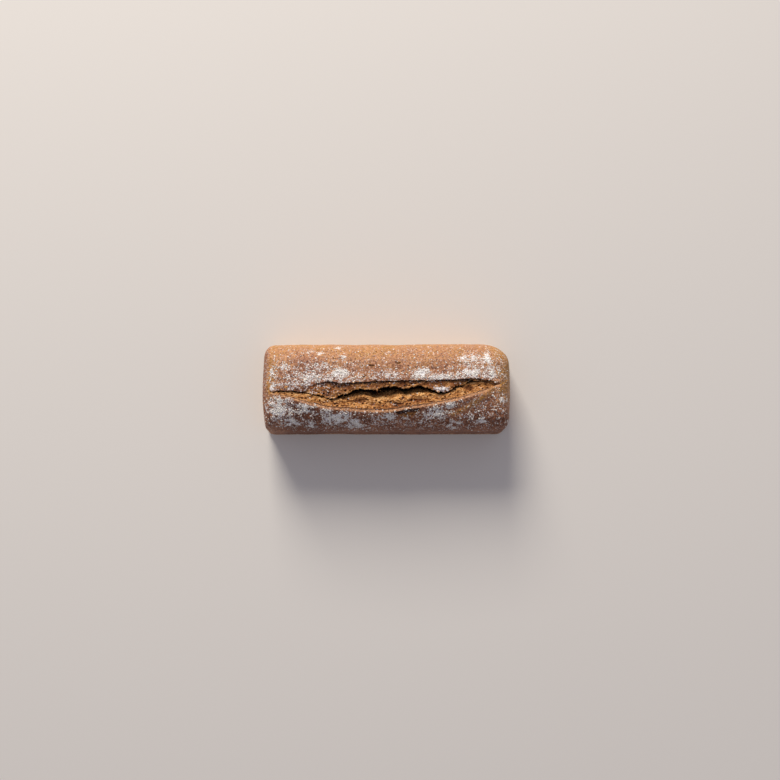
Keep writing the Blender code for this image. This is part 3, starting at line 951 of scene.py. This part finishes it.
def makeCrustFinish():
    # Baked crust: dough browned in a tin. Golden and faintly glossy where it lay against the tin, matt and
    # reddish on top, with darker bran specks and dry flour.
    # the near side is darker partly as painted shade, and the strip at the left end is painted shade
    finish, tree = newFinish("bakedCrust")
    where = addNode(tree, "TexCoord", {}).outputs["Object"]
    brownAndShade = addNode(tree, "Attribute", {}, attribute_name="brownAndShade").outputs["Fac"]
    flour = addNode(tree, "Attribute", {}, attribute_name="flour").outputs["Fac"]
    torn = addNode(tree, "Attribute", {}, attribute_name="torn").outputs["Fac"]
    lip = addNode(tree, "Attribute", {}, attribute_name="lip").outputs["Fac"]
    cloud = addNode(
        tree, "TexNoise", {"Vector": where, "Scale": 1 / 0.018, "Detail": 4.0, "Roughness": 0.55}
    )
    mottle = addNode(
        tree, "TexNoise", {"Vector": where, "Scale": 1 / 0.0026, "Detail": 4.0, "Roughness": 0.7}
    )
    height = addNode(tree, "SeparateXYZ", {"Vector": where}).outputs["Z"]
    # the walls, which lay against the tin, are calmer than the top
    rugged = addNode(
        tree, "MapRange", {"Value": height, "From Min": 0.036, "From Max": 0.060, "To Min": 0.48}
    )
    mottled = addNode(tree, "Math", {0: mottle.outputs["Fac"], 1: 2.0, 2: -1.0}, operation="MULTIPLY_ADD")
    mottled = addNode(
        tree, "Math", {0: mottled.outputs[0], 1: rugged.outputs["Result"]}, operation="MULTIPLY"
    )
    level = addNode(tree, "Math", {0: brownAndShade, 1: 0.80, 2: mottled.outputs[0]}, operation="MULTIPLY_ADD")
    level = addNode(
        tree, "Math", {0: cloud.outputs["Fac"], 1: 0.65, 2: level.outputs[0]}, operation="MULTIPLY_ADD"
    )
    level = addNode(tree, "Math", {0: level.outputs[0], 1: 0.20}, operation="SUBTRACT")
    baked = addNode(tree, "ValToRGB", {"Fac": level.outputs[0]})
    setStops(
        baked,
        (
            (0.05, crustColours["golden"]),
            (0.36, crustColours["tan"]),
            (0.70, crustColours["reddish"]),
            (1.0, crustColours["dark"]),
        ),
    )
    # painted shade: the most torn parts, at the tears' far walls and down in the trough, turn dark
    ripped = addNode(tree, "Math", {0: mottle.outputs["Fac"], 1: 1.6, 2: -0.8}, operation="MULTIPLY_ADD")
    ripped = addNode(tree, "Math", {0: torn, 1: ripped.outputs[0]}, operation="ADD")
    broken = addNode(tree, "ValToRGB", {"Fac": ripped.outputs[0]})
    setStops(broken, ((0.45, crustColours["torn"]), (0.80, crustColours["paintedTearShade"])))
    isTorn = addNode(tree, "MapRange", {"Value": torn, "From Min": 0.1, "From Max": 0.4})
    colour = blend(tree, isTorn.outputs["Result"], baked.outputs["Color"], broken.outputs["Color"])
    patchy = addNode(tree, "MapRange", {"Value": mottle.outputs["Fac"], "From Min": 0.36, "From Max": 0.60})
    patchy = addNode(tree, "Math", {0: patchy.outputs["Result"], 1: lip}, operation="MULTIPLY")
    colour = blend(tree, patchy.outputs[0], colour, hexColour(crustColours["lip"]))
    # the foot is paler, with an uneven edge: partly paler, less baked crust and partly a painted highlight
    wander = crustSkin["footWander"]
    wavyHeight = addNode(
        tree, "Math", {0: mottle.outputs["Fac"], 1: wander, 2: height}, operation="MULTIPLY_ADD"
    )
    footTop = crustSkin["foot"] + wander / 2
    foot = addNode(
        tree,
        "MapRange",
        {"Value": wavyHeight.outputs[0], "From Min": footTop, "From Max": footTop * 0.4, "To Max": 0.9},
    )
    colour = blend(tree, foot.outputs["Result"], colour, hexColour(crustColours["foot"]))
    grain = addNode(
        tree, "TexNoise", {"Vector": where, "Scale": 1 / 0.0020, "Detail": 3.0, "Roughness": 0.8}
    )
    shade = addNode(tree, "ValToRGB", {"Fac": grain.outputs["Fac"]})
    setStops(shade, ((0.36, "#8E8484"), (0.50, "#E6E2E0"), (0.60, "#FFFFFF")))
    grainy = addNode(
        tree,
        "Mix",
        {0: rugged.outputs["Result"], 6: colour, 7: shade.outputs["Color"]},
        data_type="RGBA",
        blend_type="MULTIPLY",
    )
    specks = addNode(tree, "TexVoronoi", {"Vector": where, "Scale": 1 / 0.0021, "Randomness": 1.0})
    isBran = addNode(
        tree,
        "MapRange",
        {"Value": specks.outputs["Distance"], "From Min": 0.34, "From Max": 0.12, "To Max": 0.62},
    )
    rarer = addNode(tree, "SeparateColor", {"Color": specks.outputs["Color"]}).outputs["Green"]
    rarer = addNode(tree, "Math", {0: rarer, 1: 0.5}, operation="LESS_THAN")
    isBran = addNode(tree, "Math", {0: isBran.outputs["Result"], 1: rarer.outputs[0]}, operation="MULTIPLY")
    isBran = addNode(
        tree, "Math", {0: isBran.outputs[0], 1: rugged.outputs["Result"]}, operation="MULTIPLY"
    )
    colour = blend(tree, isBran.outputs[0], grainy.outputs[2], hexColour(crustColours["bran"]))
    white = flourMask(tree, where, flour, grain.outputs["Fac"])
    colour = blend(tree, white, colour, hexColour(crustColours["flour"]))
    rough = addNode(tree, "MapRange", {"Value": white, "To Min": 0.60, "To Max": 0.95}).outputs["Result"]
    skin = addNode(
        tree, "TexNoise", {"Vector": where, "Scale": 1 / 0.0009, "Detail": 2.0, "Roughness": 0.6}
    )
    raised = addNode(tree, "Math", {0: white, 1: 0.9, 2: skin.outputs["Fac"]}, operation="MULTIPLY_ADD")
    bump = addNode(tree, "Bump", {"Strength": 0.7, "Distance": 0.00025, "Height": raised.outputs[0]})
    shader = addNode(
        tree,
        "BsdfPrincipled",
        {"Base Color": colour, "Roughness": rough, "Normal": bump.outputs["Normal"], "IOR": 1.45},
    )
    shader.inputs["Specular IOR Level"].default_value = 0.30
    addNode(tree, "OutputMaterial", {"Surface": shader.outputs["BSDF"]})
    return finish


crumbColours = {
    "pit": "#4E2C18",
    "brown": "#94603A",
    "golden": "#D49A5A",
    "pale": "#E6BC86",
    "toastDark": "#452818",
    "toast": "#98603A",
    "paintedShade": "#1E140C",
}


def makeCrumbFinish():
    # Torn wholemeal crumb: dry, open pored sponge. Golden where it faces the light, brown in its pits, which
    # are painted darker as shade.
    finish, tree = newFinish("tornCrumb")
    where = addNode(tree, "TexCoord", {}).outputs["Object"]
    pore = addNode(tree, "Attribute", {}, attribute_name="pore").outputs["Fac"]
    toastAndShade = addNode(tree, "Attribute", {}, attribute_name="toastAndShade").outputs["Fac"]
    flour = addNode(tree, "Attribute", {}, attribute_name="flour").outputs["Fac"]
    deep = addNode(tree, "Attribute", {}, attribute_name="deep").outputs["Fac"]
    cloud = addNode(
        tree, "TexNoise", {"Vector": where, "Scale": 1 / 0.007, "Detail": 3.0, "Roughness": 0.6}
    )
    fine = addNode(
        tree, "TexNoise", {"Vector": where, "Scale": 1 / 0.0022, "Detail": 3.0, "Roughness": 0.65}
    )
    level = addNode(tree, "Math", {0: cloud.outputs["Fac"], 1: 0.80, 2: -0.36}, operation="MULTIPLY_ADD")
    level = addNode(
        tree, "Math", {0: fine.outputs["Fac"], 1: 1.35, 2: level.outputs[0]}, operation="MULTIPLY_ADD"
    )
    # painted shade: the pores are painted darker
    level = addNode(tree, "Math", {0: pore, 1: -0.60, 2: level.outputs[0]}, operation="MULTIPLY_ADD")
    sponge = addNode(tree, "ValToRGB", {"Fac": level.outputs[0]})
    setStops(
        sponge,
        (
            (0.30, crumbColours["pit"]),
            (0.52, crumbColours["brown"]),
            (0.72, crumbColours["golden"]),
            (0.95, crumbColours["pale"]),
        ),
    )
    crusty = addNode(tree, "ValToRGB", {"Fac": level.outputs[0]})
    setStops(crusty, ((0.40, crumbColours["toastDark"]), (0.85, crumbColours["toast"])))
    colour = blend(tree, toastAndShade, sponge.outputs["Color"], crusty.outputs["Color"])
    white = flourMask(tree, where, flour, fine.outputs["Fac"])
    colour = blend(tree, white, colour, hexColour(crustColours["flour"]))
    # painted shade: the crumb turns near black where it lies hidden under the ledge and lips
    colour = blend(tree, deep, colour, hexColour(crumbColours["paintedShade"]))
    skin = addNode(
        tree, "TexNoise", {"Vector": where, "Scale": 1 / 0.0006, "Detail": 2.0, "Roughness": 0.7}
    )
    bump = addNode(tree, "Bump", {"Strength": 0.7, "Distance": 0.00022, "Height": skin.outputs["Fac"]})
    shader = addNode(
        tree,
        "BsdfPrincipled",
        {"Base Color": colour, "Roughness": 0.92, "Normal": bump.outputs["Normal"], "IOR": 1.4},
    )
    shader.inputs["Specular IOR Level"].default_value = 0.15
    addNode(tree, "OutputMaterial", {"Surface": shader.outputs["BSDF"]})
    return finish


def makeFlourFinish():
    # Dry flour: a matt off-white powder, painted a little greyer in the hollows of each clump as shade.
    finish, tree = newFinish("dryFlour")
    where = addNode(tree, "TexCoord", {}).outputs["Object"]
    powder = addNode(
        tree, "TexNoise", {"Vector": where, "Scale": 1 / 0.0006, "Detail": 3.0, "Roughness": 0.7}
    )
    tint = addNode(tree, "ValToRGB", {"Fac": powder.outputs["Fac"]})
    setStops(tint, ((0.30, "#CFC8BC"), (0.60, "#F3F0EA")))
    bump = addNode(tree, "Bump", {"Strength": 0.5, "Distance": 0.00012, "Height": powder.outputs["Fac"]})
    shader = addNode(
        tree,
        "BsdfPrincipled",
        {"Base Color": tint.outputs["Color"], "Roughness": 1.0, "Normal": bump.outputs["Normal"], "IOR": 1.4},
    )
    shader.inputs["Specular IOR Level"].default_value = 0.05
    addNode(tree, "OutputMaterial", {"Surface": shader.outputs["BSDF"]})
    return finish


# Clumps of flour and loose crumbs, scattered over the finished surfaces

flourClumps = {
    "doublings": 12,        # 2 to this power is how many there are
    "smallest": 0.00035,
    "largest": 0.00105,
    "flatness": 0.35,
    "seed": 11,
}

looseCrumbs = {
    "doublings": 8,
    "smallest": 0.0004,
    "largest": 0.0012,
    "flatness": 0.70,
    "seed": 29,
}


def surfaceOf(pieces):
    points, faces = [], []
    for piece in pieces:
        first = len(points)
        points += [vert.co.copy() for vert in piece.data.vertices]
        faces += [[first + i for i in face.vertices] for face in piece.data.polygons]
    return BVHTree.FromPolygons(points, faces)


def makeClumps(clumps, bumpiness, surface, chanceAt):
    # one small rough ball doubled again and again, then each copy set down on the surface
    mesh = bmesh.new()
    bmesh.ops.create_icosphere(mesh, subdivisions=1, radius=1)
    perClump = len(mesh.verts)
    for _ in range(clumps["doublings"]):
        bmesh.ops.duplicate(mesh, geom=mesh.verts[:] + mesh.edges[:] + mesh.faces[:])
    mesh.verts.ensure_lookup_table()
    dice = random.Random(clumps["seed"])
    for first in range(0, len(mesh.verts), perClump):
        while True:
            x, y = dice.uniform(-0.135, 0.135), dice.uniform(-0.049, 0.049)
            spot, normal, _, _ = surface.ray_cast(Vector((x, y, 0.1)), Vector((0, 0, -1)))
            if spot and dice.random() < chanceAt(spot, normal):
                break
        size = mix(clumps["smallest"], clumps["largest"], dice.random() ** 3)
        turned = Matrix.Rotation(dice.uniform(0, 6.28), 4, "Z")
        spin = turned @ Matrix.Rotation(dice.uniform(-0.5, 0.5), 4, "X")
        upright = normal.to_track_quat("Z", "Y").to_matrix().to_4x4()
        long, wide = size * dice.uniform(0.9, 1.5), size * dice.uniform(0.7, 1.1)
        shape = Matrix.Diagonal((long, wide, size * clumps["flatness"], 1))
        place = Matrix.Translation(spot + normal * size * 0.15) @ upright @ spin @ shape
        for vert in mesh.verts[first : first + perClump]:
            vert.co = place @ (vert.co * (1 + dice.uniform(-bumpiness, bumpiness)))
    return mesh


def flourChance(spot, normal):
    # none lies deep in the split
    x, y, z = spot
    lips = splitLips(x)
    inSplit = lips.near < y < lips.far and fromSplitEnd(x) > 0
    if inSplit and topHeight(x, y) - z > 0.005:
        return 0.0
    return flourAt(x, y, z) ** 1.5 * (0.1 if inSplit else 1.0)


def crumbChance(spot, normal):
    # nearly all lie on the torn crumb, and a few on the crust
    x, y, _ = spot
    onCrumb = rolledEdge(x) + 0.001 < y < splitLips(x).far and normal.z > 0.4 and fromSplitEnd(x) > 0.004
    return 1.0 if onCrumb else 0.004


crustFinish = makeCrustFinish()
crumbFinish = makeCrumbFinish()
flourFinish = makeFlourFinish()
slopeCrumb = {
    "path": slopePath,
    "back": slopeBack,
    "from": splitForm["start"],
    "to": splitForm["end"],
    "rings": 600,
    "streaks": 0.35,
    "crags": 1.0,
    "rough": 1.0,
    "toast": slopeToastAndShade,
    "dark": paintedSlopeShade,
    "dented": True,
    "floury": False,
}
ledgeCrumb = {
    "path": ledgePath,
    "back": ledgeBack,
    "from": -0.098,
    "to": 0.124,
    "rings": 540,
    "streaks": 0.45,
    "crags": 1.0,
    "rough": 1.0,
    "toast": ledgeToast,
    "dark": paintedLedgeShade,
    "dented": False,
    "floury": True,
}
crust = addPiece("crust", makeCrust(), crustFinish)
slope = addPiece("tornCrumb", makeCrumb(slopeCrumb), crumbFinish)
ledge = addPiece("crumbLedge", makeCrumb(ledgeCrumb), crumbFinish)
surface = surfaceOf((crust, slope, ledge))
addPiece("flourClumps", makeClumps(flourClumps, 0.25, surface, flourChance), flourFinish)
addPiece("looseCrumbs", makeClumps(looseCrumbs, 0.35, surface, crumbChance), crumbFinish)


# Floor, lights and camera

studio = {
    "floor": "#E4E2DE",
    "keyAzimuth": 104,      # degrees from +x: the light comes from the far side, a little from the left
    "keyElevation": 28,
    "keyDistance": 4.0,
    "keySize": 1.6,
    "keyWatts": 184.0,
    "keyColour": "#FFF6EA",
    "skyColour": "#F5F0FB",
    "skyStrength": 0.350,
}


def makeFloor():
    # a matt, pale sheet that takes the loaf's soft shadow
    mesh = bmesh.new()
    bmesh.ops.create_grid(mesh, x_segments=4, y_segments=4, size=3.0)
    data = bpy.data.meshes.new("floor")
    mesh.to_mesh(data)
    mesh.free()
    finish, tree = newFinish("paleFloor")
    shader = addNode(tree, "BsdfPrincipled", {"Base Color": hexColour(studio["floor"]), "Roughness": 0.9})
    shader.inputs["Specular IOR Level"].default_value = 0.1
    addNode(tree, "OutputMaterial", {"Surface": shader.outputs["BSDF"]})
    data.materials.append(finish)
    floor = bpy.data.objects.new("floor", data)
    floor.location.z = -0.0003
    bpy.context.scene.collection.objects.link(floor)


def addKeyLight():
    lamp = bpy.data.lights.new("keyLight", "AREA")
    lamp.size = studio["keySize"]
    lamp.energy = studio["keyWatts"]
    lamp.color = hexColour(studio["keyColour"])[:3]
    turn, lift = math.radians(studio["keyAzimuth"]), math.radians(studio["keyElevation"])
    towards = Vector((math.cos(turn) * math.cos(lift), math.sin(turn) * math.cos(lift), math.sin(lift)))
    box = bpy.data.objects.new("keyLight", lamp)
    box.location = towards * studio["keyDistance"]
    box.rotation_euler = towards.to_track_quat("Z", "Y").to_euler()
    bpy.context.scene.collection.objects.link(box)


makeFloor()
addKeyLight()
world = bpy.data.worlds.new("studioAir")
world.use_nodes = True
backdrop = world.node_tree.nodes["Background"]
backdrop.inputs["Color"].default_value = hexColour(studio["skyColour"])
backdrop.inputs["Strength"].default_value = studio["skyStrength"]
bpy.context.scene.world = world
bpy.context.scene.view_settings.view_transform = "Standard"

viewpoint = {
    "height": 1.046,
    "aside": 0.0040,
    "sensorWidth": 36.0,
    "lens": 41.03,
}
camera = bpy.data.objects.new("camera", bpy.data.cameras.new("camera"))
camera.data.sensor_width = viewpoint["sensorWidth"]
camera.data.lens = viewpoint["lens"]
camera.location = (viewpoint["aside"], 0.0, viewpoint["height"])
bpy.context.scene.collection.objects.link(camera)
bpy.context.scene.camera = camera
print("floor, light and camera are in place")
